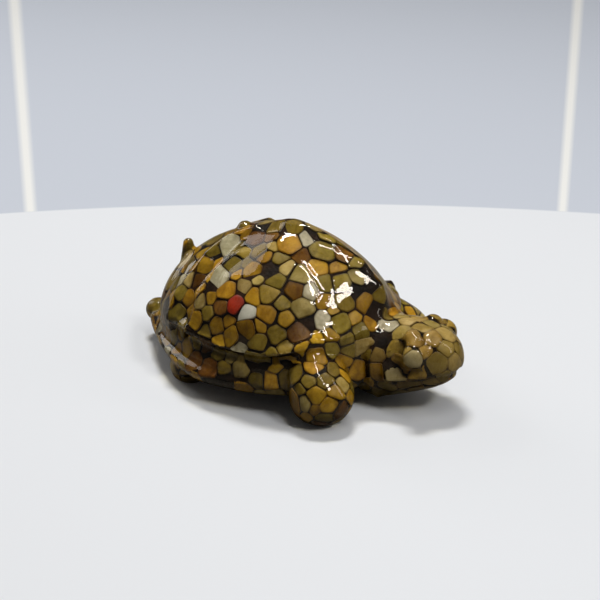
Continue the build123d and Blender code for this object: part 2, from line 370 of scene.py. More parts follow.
@dataclass(frozen=True)
class Peg:
    """Rounded peg that stands on the back."""

    x: float
    top: float
    radius: float
    root_spread: float = 1.1
    root_depth: float = 8.0
    turn_count: int = 24
    cap_rings: int = 8

    def drawn_in(self, depth: float) -> "Peg":
        """Returns the peg with its tip and side drawn in."""
        return replace(self, top=self.top - depth, radius=self.radius - depth)

    def form(self) -> Form:
        """Builds the peg.

        Returns:
            Its closed form.
        """
        middle = self.top - self.radius
        profile = [(self.radius + self.root_spread, middle - self.root_depth), (self.radius, middle)]
        profile += [(self.radius * math.cos(a), middle + self.radius * math.sin(a))
                    for a in np.linspace(0.2, 1.5, self.cap_rings)]
        return closed_form([level_ring(self.x, 0.0, z, r, r, self.turn_count) for r, z in profile])


@dataclass(frozen=True)
class Ball:
    """Round swelling of the casting."""

    centre: Point
    radii: Point
    turn_count: int = 32
    ring_count: int = 16

    def on(self, side: int) -> "Ball":
        """Returns the same ball on the left, 1, or the right, -1."""
        x, y, z = self.centre
        return replace(self, centre=(x, side * y, z))

    def drawn_in(self, depth: float) -> "Ball":
        """Returns the ball with its radii made smaller."""
        return replace(self, radii=tuple(radius - depth for radius in self.radii))

    def form(self) -> Form:
        """Builds the ball.

        Returns:
            Its closed form.
        """
        (x, y, z), (long, wide, high) = self.centre, self.radii
        return closed_form([
            level_ring(x, y, z + high * math.sin(rise), long * math.cos(rise), wide * math.cos(rise), self.turn_count)
            for rise in np.linspace(-1.5, 1.5, self.ring_count)])


@dataclass(frozen=True)
class Head:
    """Blunt head on its neck, with its left eye and the brow over it."""

    nose_x: float = 39.9
    length: float = 24.5
    half_width: float = 9.3
    half_height: float = 8.9
    middle_height: float = 11.7
    eye: Ball = Ball((32.7, 6.9, 14.2), (2.9, 2.9, 2.9))
    brow: Ball = Ball((31.2, 4.6, 16.6), (2.2, 2.2, 2.2))
    # Places of the chips that fill the eye, the brow, the cheek and the snout, and how far each pushes its neighbours
    large_chips: tuple[tuple[Point, float], ...] = (
        ((33.5, 9.4, 14.4), 1.7), ((31.6, 6.3, 18.2), 1.3), ((29.0, 9.6, 10.6), 1.2), ((37.4, 5.2, 12.6), 1.2))
    # Each station: place behind the nose, half width, half height and drop of the middle, as shares
    stations: Stations = (
        (0.0, 0.2, 0.2, 0.01), (0.04, 0.41, 0.4, 0.0), (0.1, 0.58, 0.56, 0.0), (0.18, 0.74, 0.7, 0.0),
        (0.3, 0.87, 0.81, 0.05), (0.46, 0.96, 0.93, 0.12), (0.63, 1.0, 1.0, 0.22),
        (0.8, 0.96, 0.95, 0.3), (1.0, 0.74, 0.72, 0.32))
    turn_count: int = 64
    ring_count: int = 40

    def form(self) -> Form:
        """Builds the head.

        Returns:
            Its closed form.
        """
        turn = turns(self.turn_count)
        rings = []
        places = np.linspace(0, 1, self.ring_count)
        for place, (wide, high, drop) in zip(places, table_curve(self.stations, places)):
            rings.append(np.stack([np.full(len(turn), self.nose_x - self.length * place),
                                   self.half_width * wide * np.cos(turn),
                                   self.middle_height - self.half_height * drop
                                   + self.half_height * high * np.sin(turn)], 1))
        return closed_form(rings)


@dataclass(frozen=True)
class Stroke:
    """Raised ridge, or sunk groove where height is negative, along a line of points."""

    points: tuple[Point, ...]
    width: float
    height: float
    mirrored: bool = True

    def depth_at(self, places: np.ndarray) -> np.ndarray:
        """Works out how far the line itself moves each point.

        Args:
            places: points of the surface.

        Returns:
            The move of each point along its normal.
        """
        line = np.array(self.points, float)
        nearest = np.full(len(places), np.inf)
        for start, end in zip(line, line[1:] if len(line) > 1 else line):
            way = end - start
            share = np.clip((places - start) @ way / max(way @ way, 1e-9), 0, 1)
            nearest = np.minimum(nearest, np.linalg.norm(places - start - share[:, None] * way, axis=1))
        return self.height * np.exp(-(nearest / self.width) ** 2)

    def moves(self, places: np.ndarray) -> np.ndarray:
        """Works out the moves on the right, and on the left too where the stroke is mirrored.

        Args:
            places: points of the surface.

        Returns:
            The move of each point along its normal.
        """
        move = self.depth_at(places)
        if self.mirrored:
            off_middle = np.abs(places[:, 1]) > 1e-6
            move = move + self.depth_at(places * np.array([1, -1, 1])) * off_middle
        return move


@dataclass(frozen=True)
class Ripple:
    """Gentle unevenness of the hand-finished resin."""

    height: float
    wavelength: float
    seed: int
    wave_count: int = 7

    def moves(self, places: np.ndarray) -> np.ndarray:
        """Works out how far crossing waves move each point.

        Args:
            places: points of the surface.

        Returns:
            The move of each point along its normal.
        """
        choice = np.random.default_rng(self.seed)
        move = np.zeros(len(places))
        for _ in range(self.wave_count):
            way = choice.normal(size=3)
            way *= 2 * math.pi / (self.wavelength * choice.uniform(0.7, 1.4) * np.linalg.norm(way))
            move += np.sin(places @ way + choice.uniform(0, 2 * math.pi))
        return self.height * move / self.wave_count ** 0.5


STROKES = (
    # Ridge down the middle of the shell's front, with two knobs on it
    Stroke(((-0.6, 0.0, 35.0), (5.2, 0.0, 34.1), (10.7, 0.0, 31.8), (15.0, 0.0, 29.3), (18.7, 0.0, 26.2),
            (21.6, 0.0, 22.6)), 1.8, 0.5, False),
    Stroke(((15.8, 0.0, 28.7),), 1.7, 0.5, False),
    Stroke(((20.3, 0.0, 24.5),), 1.7, 0.5, False),
    # Ridge, hollow and ridge down the flank, and a hollow nearer the tail
    Stroke(((-8.2, -2.7, 32.7), (-14.0, -4.3, 30.0), (-17.4, -7.7, 26.6), (-18.1, -11.0, 23.9),
            (-20.5, -13.0, 20.5), (-21.4, -14.7, 17.6), (-21.6, -16.2, 14.0)), 1.3, 0.9),
    Stroke(((-10.7, -4.8, 30.9), (-12.8, -9.7, 27.4), (-14.9, -13.2, 23.8), (-16.2, -16.2, 19.9),
            (-16.8, -18.0, 16.4)), 1.3, -0.6),
    Stroke(((-7.9, -9.2, 29.4), (-11.6, -12.5, 25.9), (-13.0, -15.5, 22.7), (-13.2, -18.6, 18.6),
            (-14.0, -19.9, 13.6)), 1.2, 0.7),
    Stroke(((-24.5, -3.5, 25.0), (-26.0, -8.0, 20.5), (-28.0, -10.5, 16.0), (-29.5, -11.5, 11.5)), 1.5, -0.6),
    # Ledge round the dome's foot, and the groove under it
    Stroke(((-21.0, -15.5, 13.8), (-14.9, -19.5, 14.5), (-10.7, -20.9, 13.9), (-5.7, -21.8, 13.8),
            (1.5, -22.3, 14.1), (6.5, -21.7, 14.3), (10.9, -20.1, 15.3), (14.2, -16.8, 17.3)), 1.0, 0.85),
    Stroke(((-21.0, -16.3, 12.0), (-14.9, -20.3, 12.7), (-10.7, -21.8, 12.1), (-5.7, -22.7, 12.0),
            (1.5, -23.2, 12.3), (6.5, -22.3, 12.6), (10.9, -20.4, 13.6)), 0.8, -1.05),
    # Lip of the rim, and the groove over it
    Stroke(((-36.5, -2.5, 6.5), (-34.1, -6.3, 6.5), (-23.5, -16.4, 6.7), (-14.1, -22.1, 6.8),
            (-6.1, -24.7, 6.7), (1.1, -25.0, 6.7)), 0.7, 0.4),
    Stroke(((-34.1, -6.0, 8.4), (-23.5, -16.0, 8.6), (-14.1, -21.6, 8.7), (-6.1, -24.0, 8.6),
            (1.1, -24.2, 8.6)), 0.8, -0.35),
    # Shoulder over the front leg
    Stroke(((13.5, -18.6, 15.8), (14.8, -16.4, 17.3), (16.7, -13.8, 18.0)), 1.5, 0.5),
    # Socket behind and under the eye, and the hollow behind the cheek
    Stroke(((29.2, -7.2, 16.0), (29.3, -8.2, 13.4), (30.0, -8.6, 11.2), (33.4, -7.9, 10.5)), 1.0, -1.1),
    Stroke(((28.4, -8.4, 12.8), (28.3, -8.9, 10.7)), 1.5, -0.9),
    # Line of the mouth, and the lip over it
    Stroke(((27.9, -8.2, 7.0), (33.1, -6.9, 7.7), (37.5, -4.3, 8.8), (39.6, 0.0, 9.2)), 0.8, -0.9),
    Stroke(((27.9, -8.7, 8.8), (33.1, -7.3, 9.5), (37.2, -4.6, 10.6), (38.4, 0.0, 11.0)), 1.1, 0.45),
    # Collar round the neck, and the groove ahead of it
    Stroke(((22.8, -3.1, 18.6), (22.8, -6.7, 15.5), (23.3, -8.9, 11.9), (23.7, -9.0, 7.4),
            (23.6, -5.0, 2.6)), 1.1, 0.6),
    Stroke(((25.4, -3.1, 19.3), (25.4, -6.7, 16.4), (25.6, -8.9, 12.4), (25.9, -9.1, 7.4),
            (26.0, -5.0, 2.6)), 1.0, -0.4),
)
ROUND_FOOT = ((0.0, 0.0, 0.0, 0.36, 0.36), (0.06, 0.0, 0.0, 0.62, 0.62), (0.2, 0.0, 0.0, 0.9, 0.9))
FLAT_FOOT = ((0.0, 0.0, 0.0, 0.6, 0.6), (0.08, 0.0, 0.0, 0.82, 0.82), (0.24, 0.0, 0.0, 0.98, 0.98))


# Materials

@dataclass
class Nodes:
    """Short way to add and link the nodes of one tree."""

    tree: bpy.types.NodeTree

    def add(self, kind: str, inputs: dict[str | int, Any] | None = None, **settings: Any) -> bpy.types.Node:
        """Adds a node.

        Args:
            kind: the node's type name.
            inputs: values or sockets for its inputs.
            **settings: the node's own settings.

        Returns:
            The node.
        """
        node = self.tree.nodes.new(kind)
        for name, value in settings.items():
            setattr(node, name, value)
        for name, value in (inputs or {}).items():
            if isinstance(value, bpy.types.NodeSocket):
                self.tree.links.new(value, node.inputs[name])
            else:
                node.inputs[name].default_value = value
        return node

    def maths(self, operation: str, *values: Any) -> bpy.types.NodeSocket:
        """Returns the outcome of a Math node on sockets or numbers."""
        return self.add("ShaderNodeMath", dict(enumerate(values)), operation=operation).outputs[0]

    def mixed(self, share: Any, first: Any, second: Any) -> bpy.types.NodeSocket:
        """Returns two colours mixed by share."""
        return self.add("ShaderNodeMix", {0: share, 6: first, 7: second}, data_type="RGBA").outputs[2]

    def spread(self, value: Any, low: float, high: float, to_low: float, to_high: float) -> bpy.types.NodeSocket:
        """Returns a value moved from one range to another, and held inside it."""
        return self.add("ShaderNodeMapRange", {0: value, 1: low, 2: high, 3: to_low, 4: to_high}).outputs[0]

    def noise(self, where: Any, scale: Any, detail: float, **more: float) -> bpy.types.NodeSocket:
        """Returns the value of a Noise Texture node."""
        return self.add("ShaderNodeTexNoise", {"Vector": where, "Scale": scale, "Detail": detail, **more}).outputs[0]

    def place(self) -> bpy.types.NodeSocket:
        """Returns the place on the object."""
        return self.add("ShaderNodeTexCoord").outputs["Object"]

    def vector_maths(self, operation: str, first: Any, second: Any, result: str = "Vector") -> bpy.types.NodeSocket:
        """Returns the outcome of a Vector Math node."""
        return self.add("ShaderNodeVectorMath", {0: first, 1: second}, operation=operation).outputs[result]

    def bump(self, height: Any, strength: float, distance: float) -> bpy.types.NodeSocket:
        """Returns the normal that a height bends."""
        return self.add("ShaderNodeBump", {"Height": height, "Strength": strength, "Distance": distance}).outputs[0]

    def show(self, shader: bpy.types.Node, output: str = "ShaderNodeOutputMaterial") -> None:
        """Makes a shader the tree's outcome."""
        self.add(output, {"Surface": shader.outputs[0]})


def colour(tone: Rgb) -> tuple[float, float, float, float]:
    """Returns an opaque colour."""
    return *tone, 1.0


def mottled_stone_group() -> bpy.types.NodeTree:
    """Makes the group that colours one stone: clouds, veins, pits and painted shade at its rim and down its sides,
    apart for each stone.

    Returns:
        The node group.
    """
    group = bpy.data.node_groups.new("MottledStone", "ShaderNodeTree")
    for way, kind, labels in (("INPUT", "Color", ("Base", "Light", "Deep")),
                              ("INPUT", "Float", ("Cloud Size", "Vein Share", "Shift")),
                              ("OUTPUT", "Color", ("Color",)), ("OUTPUT", "Float", ("Roughness", "Height"))):
        for label in labels:
            group.interface.new_socket(label, in_out=way, socket_type=f"NodeSocket{kind}")
    nodes = Nodes(group)
    given = nodes.add("NodeGroupInput").outputs
    own = nodes.add("ShaderNodeAttribute", attribute_name="chip").outputs["Fac"]
    # The edge attribute gives each point's share of painted shade at the chip's rim and sides
    edge = nodes.add("ShaderNodeAttribute", attribute_name="edge").outputs["Fac"]
    apart = nodes.vector_maths("ADD", nodes.place(), nodes.maths("MULTIPLY", own, 3.7))
    size = given["Cloud Size"]
    cloud = nodes.noise(apart, size, 5.0, Roughness=0.62, Distortion=0.6)
    grain = nodes.noise(apart, nodes.maths("MULTIPLY", size, 5.0), 3.0, Roughness=0.7)
    vein = nodes.add("ShaderNodeTexWave", {"Vector": apart, "Scale": nodes.maths("MULTIPLY", size, 0.35),
                                           "Distortion": 9.0, "Detail": 3.0, "Detail Scale": 1.6}).outputs["Fac"]
    tone = nodes.mixed(nodes.spread(cloud, 0.36, 0.64, 0.0, 1.0), given["Base"], given["Light"])
    lined = nodes.maths("MULTIPLY", nodes.spread(vein, 0.72, 0.98, 0.0, 1.0), given["Vein Share"])
    pitted = nodes.spread(grain, 0.56, 0.74, 0.0, 0.35)
    # Painted shade: the deep colour creeps in at the chip's rim and covers its sides down in the gaps
    painted_rim_shade = nodes.spread(edge, 0.8, 1.0, 0.0, 0.6)
    for share in (lined, pitted, painted_rim_shade):
        tone = nodes.mixed(share, tone, given["Deep"])
    bright = nodes.maths("ADD", 1.0, nodes.maths("MULTIPLY", given["Shift"], nodes.maths("SUBTRACT", own, 0.5)))
    other = nodes.maths("FRACT", nodes.maths("MULTIPLY", own, 7.31))
    hue = nodes.maths("ADD", 0.5, nodes.maths("MULTIPLY", 0.014, nodes.maths("SUBTRACT", other, 0.5)))
    final = nodes.add("ShaderNodeHueSaturation", {"Hue": hue, "Value": bright, "Color": tone}).outputs[0]
    nodes.add("NodeGroupOutput", {"Color": final, "Roughness": nodes.spread(grain, 0.3, 0.7, 0.22, 0.42),
                                  "Height": grain})
    return group


def new_material(name: str, preview: tuple[float, float, float, float]) -> tuple[bpy.types.Material, Nodes]:
    """Starts a node material.

    Args:
        name: the material's name.
        preview: its colour outside renders.

    Returns:
        The material and its nodes.
    """
    material = bpy.data.materials.new(name)
    material.use_nodes = True
    material.diffuse_color = preview
    material.node_tree.nodes.clear()
    return material, Nodes(material.node_tree)


@dataclass(frozen=True)
class StoneFinish:
    """Colours of one kind of polished chip."""

    name: str
    base: Rgb
    light: Rgb
    deep: Rgb
    cloud_size: float = 300.0
    vein_share: float = 0.16
    shift: float = 0.5
    specular: float = 0.12
    pit_height: float = 0.00005

    def towards(self, other: "StoneFinish", share: float) -> "StoneFinish":
        """Mixes this finish with another, with hardly any veins.

        Args:
            other: the other finish, which gives the clouds and the shift.
            share: how much of the other's colours goes in.

        Returns:
            The mixed finish.
        """
        pairs = ((self.base, other.base), (self.light, other.light), (self.deep, other.deep))
        base, light, deep = (tuple(a + (b - a) * share for a, b in zip(mine, theirs)) for mine, theirs in pairs)
        return replace(other, name=f"{self.name}_{other.name}", base=base, light=light, deep=deep, vein_share=0.05)

    def material(self, group: bpy.types.NodeTree) -> bpy.types.Material:
        """Makes the chip's material.

        Args:
            group: the mottled stone group.

        Returns:
            The material.
        """
        made, nodes = new_material(f"{self.name}_stone", colour(self.base))
        mottle = nodes.add("ShaderNodeGroup", {
            "Base": colour(self.base), "Light": colour(self.light), "Deep": colour(self.deep),
            "Cloud Size": self.cloud_size, "Vein Share": self.vein_share, "Shift": self.shift},
            node_tree=group).outputs
        nodes.show(nodes.add("ShaderNodeBsdfPrincipled", {
            "Base Color": mottle["Color"], "Roughness": mottle["Roughness"], "Specular IOR Level": self.specular,
            "Normal": nodes.bump(mottle["Height"], 0.2, self.pit_height)}))
        return made


@dataclass(frozen=True)
class ClearResin:
    """Clear cast resin with a wet polish, which lets lamps through to the stones."""

    tint: Rgb = (1.0, 0.965, 0.86)
    glint: Rgb = (1.0, 0.93, 0.84)
    ior: float = 1.42
    roughness: float = 0.035
    wave: float = 0.00003
    wave_scale: float = 260.0

    def material(self) -> bpy.types.Material:
        """Makes the resin's material.

        Returns:
            The material.
        """
        made, nodes = new_material("clear_resin", (*self.tint, 0.3))
        swell = nodes.noise(nodes.place(), self.wave_scale, 2.0)
        glass = nodes.add("ShaderNodeBsdfPrincipled", {
            "Base Color": colour(self.tint), "Roughness": self.roughness, "IOR": self.ior,
            "Transmission Weight": 1.0, "Specular Tint": colour(self.glint),
            "Normal": nodes.bump(swell, 1.0, self.wave)})
        through = nodes.add("ShaderNodeBsdfTransparent", {"Color": colour(self.tint)})
        shadow = nodes.add("ShaderNodeLightPath").outputs["Is Shadow Ray"]
        nodes.show(nodes.add("ShaderNodeMixShader", {0: shadow, 1: glass.outputs[0], 2: through.outputs[0]}))
        return made


@dataclass(frozen=True)
class DarkBinder:
    """Fine dark gravel in resin, seen between the chips."""

    dark: Rgb = (0.004, 0.002, 0.001)
    amber: Rgb = (0.022, 0.009, 0.003)
    specular: float = 0.1
    grain_scale: float = 1400.0
    grain_height: float = 0.0002
    cloud_scale: float = 160.0

    def material(self) -> bpy.types.Material:
        """Makes the binder's material.

        Returns:
            The material.
        """
        made, nodes = new_material("packed_core", colour(self.dark))
        where = nodes.place()
        grains = nodes.add("ShaderNodeTexVoronoi", {"Vector": where, "Scale": self.grain_scale}).outputs[0]
        clouds = nodes.spread(nodes.noise(where, self.cloud_scale, 3.0), 0.45, 0.7, 0.0, 1.0)
        nodes.show(nodes.add("ShaderNodeBsdfPrincipled", {
            "Base Color": nodes.mixed(clouds, colour(self.dark), colour(self.amber)),
            "Roughness": nodes.spread(grains, 0.0, 0.6, 0.35, 0.6),
            "Specular IOR Level": self.specular, "Normal": nodes.bump(grains, 0.5, self.grain_height)}))
        return made


class Kind(Enum):
    """Kinds of chips, each with its finish."""

    OCHRE = StoneFinish("ochre", (0.215, 0.112, 0.005), (0.37, 0.215, 0.014), (0.060, 0.021, 0.001))
    OLIVE = StoneFinish("olive", (0.115, 0.080, 0.007), (0.210, 0.150, 0.024), (0.035, 0.018, 0.0015))
    CREAM = StoneFinish("cream", (0.215, 0.155, 0.040), (0.36, 0.28, 0.105), (0.08, 0.046, 0.010))
    GREY = StoneFinish("grey", (0.24, 0.215, 0.135), (0.42, 0.39, 0.30), (0.10, 0.072, 0.028))
    BROWN = StoneFinish("brown", (0.065, 0.024, 0.002), (0.130, 0.058, 0.005), (0.016, 0.005, 0.001))
    RED = StoneFinish("red", (0.14, 0.004, 0.002), (0.25, 0.012, 0.006), (0.045, 0.002, 0.001))
    WHITE = StoneFinish("white", (0.46, 0.46, 0.41), (0.64, 0.64, 0.60), (0.24, 0.22, 0.17), vein_share=0.1)


# The head's chips all lean towards one khaki tone
KHAKI = StoneFinish("khaki", (0.175, 0.118, 0.025), (0.30, 0.215, 0.065), (0.075, 0.034, 0.006), cloud_size=200.0,
                    shift=0.2)
KHAKI_SHARE = 0.6


# The casting and what is packed in it

@dataclass(frozen=True)
class ResinCasting:
    """Skin of clear resin round the whole figure, in one pour."""

    carapace: Carapace = Carapace()
    head: Head = Head()
    front_leg: Leg = Leg(x=17.1, y=17.9, height=16.4, radius=6.8, back=5.2, inward=3.6, foot=ROUND_FOOT)
    rear_leg: Leg = Leg(x=-17.6, y=15.2, height=9.4, radius=4.4, back=-3.0, inward=2.4, foot=FLAT_FOOT)
    pegs: tuple[Peg, ...] = (Peg(-27.9, 26.0, 1.3), Peg(-12.6, 33.0, 2.0))
    tail_nub: Ball = Ball((-36.9, 0.0, 6.5), (3.0, 3.2, 2.7))
    peg_wall: float = 0.35
    nub_wall: float = 0.4
    voxel: float = 0.42
    smoothing: int = 7
    strokes: tuple[Stroke, ...] = STROKES
    ripples: tuple[Ripple, ...] = (Ripple(0.05, 11.0, 3), Ripple(0.015, 5.0, 5))

    def parts(self) -> list[Form]:
        """Builds every cast part.

        Returns:
            Their closed forms, in a fixed order.
        """
        made = [self.carapace.shell(), self.carapace.belly(), self.head.form(),
                *(peg.form() for peg in self.pegs), self.tail_nub.form()]
        for side in SIDES:
            made += [part.on(side).form() for part in (self.head.eye, self.head.brow, self.front_leg, self.rear_leg)]
        return made

    def long_chips(self) -> list[Form]:
        """Returns the single long chips inside the pegs and the tail nub."""
        return [*(peg.drawn_in(self.peg_wall).form() for peg in self.pegs),
                self.tail_nub.drawn_in(self.nub_wall).form()]

    def build(self) -> bpy.types.Object:
        """Joins the parts, rounds their creases and carves the strokes, inside the CAD's own box.

        Returns:
            The skin.
        """
        rough = made_mesh("rough_casting", joined(self.parts()))
        remesh = rough.modifiers.new("Voxels", "REMESH")
        remesh.mode = "VOXEL"
        remesh.voxel_size = self.voxel * MM
        smooth = rough.modifiers.new("Rounding", "SMOOTH")
        smooth.factor, smooth.iterations = 0.5, self.smoothing
        graph = bpy.context.evaluated_depsgraph_get()
        mesh = bpy.data.meshes.new_from_object(rough.evaluated_get(graph))
        bpy.data.objects.remove(rough)
        mesh.name = "resin_skin"
        places, normals = points_and_normals(mesh)
        move = sum((effect.moves(places) for effect in (*self.strokes, *self.ripples)), np.zeros(len(places)))
        low, high = (np.array(corner) / MM for corner in CAD_BOX)
        move_points(mesh, np.clip(places + normals * move[:, None], low, high))
        mesh.polygons.foreach_set("use_smooth", [True] * len(mesh.polygons))
        return linked("resin_skin", mesh)


@dataclass(frozen=True)
class Surface:
    """Finished skin, ready to be asked where its surface is, in millimetres."""

    places: np.ndarray
    normals: np.ndarray
    tree: BVHTree

    @classmethod
    def of(cls, skin: bpy.types.Object) -> "Surface":
        """Reads a skin's surface.

        Args:
            skin: the skin.

        Returns:
            The surface.
        """
        places, normals = points_and_normals(skin.data)
        faces = [tuple(p.vertices) for p in skin.data.polygons]
        return cls(places, normals, BVHTree.FromPolygons([Vector(p) for p in places], faces))

    def under(self, place: np.ndarray, depth: float) -> np.ndarray:
        """Returns the point that lies depth under the skin next to a place."""
        near, normal, _, _ = self.tree.find_nearest(Vector(place))
        return np.array(near) - np.array(normal) * depth


@dataclass(frozen=True)
class Site:
    """Place of one stone on the skin, in millimetres, and how far it pushes its neighbours away.

    Its family is the CAD node that it belongs to, or the start of the name of its splinters' piece.
    """

    place: np.ndarray
    outward: np.ndarray
    kind: str
    family: str
    push: float

    @property
    def on_head(self) -> bool:
        """Says whether the stone belongs to the head."""
        return self.family.startswith("head")

    @property
    def has_node(self) -> bool:
        """Says whether the stone stands for a CAD solid."""
        return self.family.endswith("_stones")


def search_tree(sites: list[Site]) -> KDTree:
    """Sorts sites by place, to find the nearest of them.

    Args:
        sites: the sites.

    Returns:
        A tree that gives the sites' numbers in the list.
    """
    tree = KDTree(len(sites))
    for i, site in enumerate(sites):
        tree.insert(Vector(site.place), i)
    tree.balance()
    return tree


@dataclass
class Gravel:
    """Stones packed just under the skin, each an angular chip that ends about halfway to its neighbours."""

    surface: Surface
    seed: int = 11
    # Outlines
    reach: float = 4.0
    corner_count: int = 9
    side_count: int = 26
    gap: Span = (-0.35, 0.4)
    head_gap_share: float = 0.15
    push: Span = (-0.85, 0.85)
    least_share: float = 0.3
    least_width: float = 0.7
    shrink: Span = (0.93, 1.01)
    head_shrink: Span = (0.99, 1.04)
    corner_cut: Span = (0.05, 0.2)
    # Splinters fill whatever lies further than this from every stone, and some places stay empty and dark
    splinter_room: float = 2.9
    splinter_floor: float = 0.8
    sample_count: int = 40000
    splinter_kinds: tuple[str, ...] = (
        "ochre", "olive", "ochre", "olive", "", "ochre", "olive", "cream",
        "olive", "ochre", "brown", "olive", "ochre", "cream", "olive", "grey")
    head_splinter_kinds: tuple[str, ...] = ("olive", "cream", "ochre", "olive")
    head_begins: float = 25.5
    # Depth of each chip's face, and how far the face leans
    cover: Span = (0.1, 0.62)
    least_cover: float = 0.08
    lean: float = 0.2
    # Share of the outline, and depth under the chip's own face, from the middle of the face to the bed
    profile: tuple[Span, ...] = (
        (0.45, 0.0), (0.8, 0.01), (0.95, 0.04), (0.99, 0.12), (1.0, 0.3), (0.98, 0.75), (0.8, 1.3))
    # Chip sides below this depth take full painted shade
    shaded_side_depth: float = 0.5

    def __post_init__(self) -> None:
        """Starts the seeded choices."""
        self.choice = random.Random(self.seed)

    def rounded(self, corners: np.ndarray) -> np.ndarray:
        """Takes the sharpness off an outline's corners and spaces its points evenly.

        Args:
            corners: the outline's corners in order.

        Returns:
            The outline.
        """
        line = corners
        for cut in (self.choice.uniform(*self.corner_cut), 0.25):
            after = np.roll(line, -1, axis=0)
            line = np.stack([line + (after - line) * cut, after + (line - after) * cut], 1).reshape(-1, 3)
        closed = np.concatenate([line, line[:1]])
        run = np.concatenate([[0], np.cumsum(np.linalg.norm(np.diff(closed, axis=0), axis=1))])
        at = np.linspace(0, run[-1], self.side_count, endpoint=False)
        return np.stack([np.interp(at, run, closed[:, i]) for i in range(3)], 1)

    def site_near(self, place: np.ndarray, kind: str, family: str) -> Site:
        """Puts a site on the skin next to a place."""
        near, normal, _, _ = self.surface.tree.find_nearest(Vector(place))
        return Site(np.array(near), np.array(normal), kind, family, self.choice.uniform(*self.push))

    def sites_of(self, node: str) -> list[Site]:
        """Finds where a CAD node's stones lie.

        Args:
            node: the node's name.

        Returns:
            A site for each of its stones.
        """
        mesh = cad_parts[node].data
        mesh.calc_loop_triangles()
        corner = [tuple(round(c / MM, 4) for c in v.co) for v in mesh.vertices]
        number = {c: i for i, c in enumerate(dict.fromkeys(corner))}
        place = np.array(list(number), float)
        owner = list(range(len(place)))

        def root(i: int) -> int:
            """Finds which stone a point belongs to.

            Args:
                i: the point's number.

            Returns:
                The number of the point that stands for its stone.
            """
            while owner[i] != i:
                owner[i] = owner[owner[i]]
                i = owner[i]
            return i

        for triangle in mesh.loop_triangles:
            a, b, c = (root(number[corner[v]]) for v in triangle.vertices)
            owner[a] = b
            owner[root(b)] = c
        stones: dict[int, list[int]] = {}
        for i in range(len(place)):
            stones.setdefault(root(i), []).append(i)
        kind = node.split("_")[-2]
        return [self.site_near(place[members].mean(0), kind, node) for members in stones.values()]

    def enlarge(self, sites: list[Site], place: Point, push: float) -> None:
        """Moves the nearest stone to a place and lets it push its neighbours away.

        Args:
            sites: all the sites, of which one is exchanged.
            place: where the stone goes.
            push: how far it pushes.
        """
        nearest = min(range(len(sites)), key=lambda i: float(np.linalg.norm(sites[i].place - place)))
        on_skin = self.site_near(np.array(place), sites[nearest].kind, sites[nearest].family)
        sites[nearest] = replace(on_skin, push=push)

    def splinters(self, taken: list[Site]) -> list[Site]:
        """Finds places for the splinters that fill the room left between the stones.

        Args:
            taken: the sites that are already there.

        Returns:
            The splinters' sites.
        """
        step = max(1, len(self.surface.places) // self.sample_count)
        places = self.surface.places[::step]
        places = places[places[:, 2] > self.splinter_floor]
        tree = search_tree(taken)
        room = np.array([tree.find(Vector(place))[2] for place in places])
        found = []
        while room.max() > self.splinter_room:
            place = places[int(np.argmax(room))]
            on_head = place[0] > self.head_begins
            kinds = self.head_splinter_kinds if on_head else self.splinter_kinds
            found.append(self.site_near(place, self.choice.choice(kinds), "head_" if on_head else ""))
            room = np.minimum(room, np.linalg.norm(places - place, axis=1))
        return found

    def outline(self, site: Site, near: list[Site]) -> np.ndarray | None:
        """Cuts one stone's outline halfway to its neighbours.

        Args:
            site: the stone's site.
            near: the sites round it.

        Returns:
            The outline's points, or None where hardly anything is left.
        """
        along = np.cross(site.outward, [0.31, 0.82, 0.47])
        along /= np.linalg.norm(along)
        aside = np.cross(site.outward, along)
        turn = turns(self.corner_count) + self.choice.uniform(0, 1)
        corners = self.reach * np.stack([np.cos(turn), np.sin(turn)], 1)
        for other in near:
            way = other.place - site.place
            apart = float(np.linalg.norm(way))
            across = np.array([way @ along, way @ aside]) / apart
            gap = self.choice.uniform(*self.gap) * (self.head_gap_share if site.on_head else 1.0)
            limit = (apart - gap + site.push - other.push) / 2
            over = corners @ across - max(limit, self.least_share * apart)
            kept = []
            for i, corner in enumerate(corners):
                if over[i] * over[i - 1] < 0:
                    kept.append(corner + (corners[i - 1] - corner) * over[i] / (over[i] - over[i - 1]))
                if over[i] <= 0:
                    kept.append(corner)
            corners = np.array(kept)
        width = np.ptp(corners, axis=0).min() if len(corners) > 2 else 0.0
        if width < self.least_width:
            return None
        middle = corners.mean(0)
        shrink = self.choice.uniform(*(self.head_shrink if site.on_head else self.shrink))
        corners = middle + (corners - middle) * shrink
        return self.rounded(site.place + corners[:, :1] * along + corners[:, 1:] * aside)

    def outlines(self, sites: list[Site]) -> dict[int, np.ndarray]:
        """Cuts every stone's outline.

        Args:
            sites: all the sites.

        Returns:
            The outlines by the identity of their sites.
        """
        tree = search_tree(sites)
        made = {}
        for i, site in enumerate(sites):
            near = [sites[j] for _, j, _ in tree.find_range(Vector(site.place), 2 * self.reach + 0.5) if j != i]
            outline = self.outline(site, near)
            if outline is not None:
                made[id(site)] = outline
        return made

    def chip(self, outline: np.ndarray) -> tuple[Form, np.ndarray]:
        """Builds one stone under the skin.

        Args:
            outline: the stone's outline.

        Returns:
            Its form, and each of its points' share of painted shade, growing towards the rim of its face and full
            down its sides.
        """
        centre = outline.mean(0)
        cover = self.choice.uniform(*self.cover)
        lean = np.array([self.choice.uniform(-1, 1) for _ in range(3)]) * self.lean
        rings, rim_shade_shares = [], []
        for share, depth in self.profile:
            ring = centre + (outline - centre) * share
            depths = [max(self.least_cover, cover + depth + float((p - centre) @ lean)) for p in ring]
            rings.append(np.array([self.surface.under(p, d) for p, d in zip(ring, depths)]))
            # Painted shade: full on the sides below the set depth, growing towards the rim on the face
            rim_shade_shares += [share if depth < self.shaded_side_depth else 1.0] * len(ring)
        points, faces = closed_form(rings)
        return (points, [face[::-1] for face in faces]), np.array([*rim_shade_shares, 0.0, 1.0])

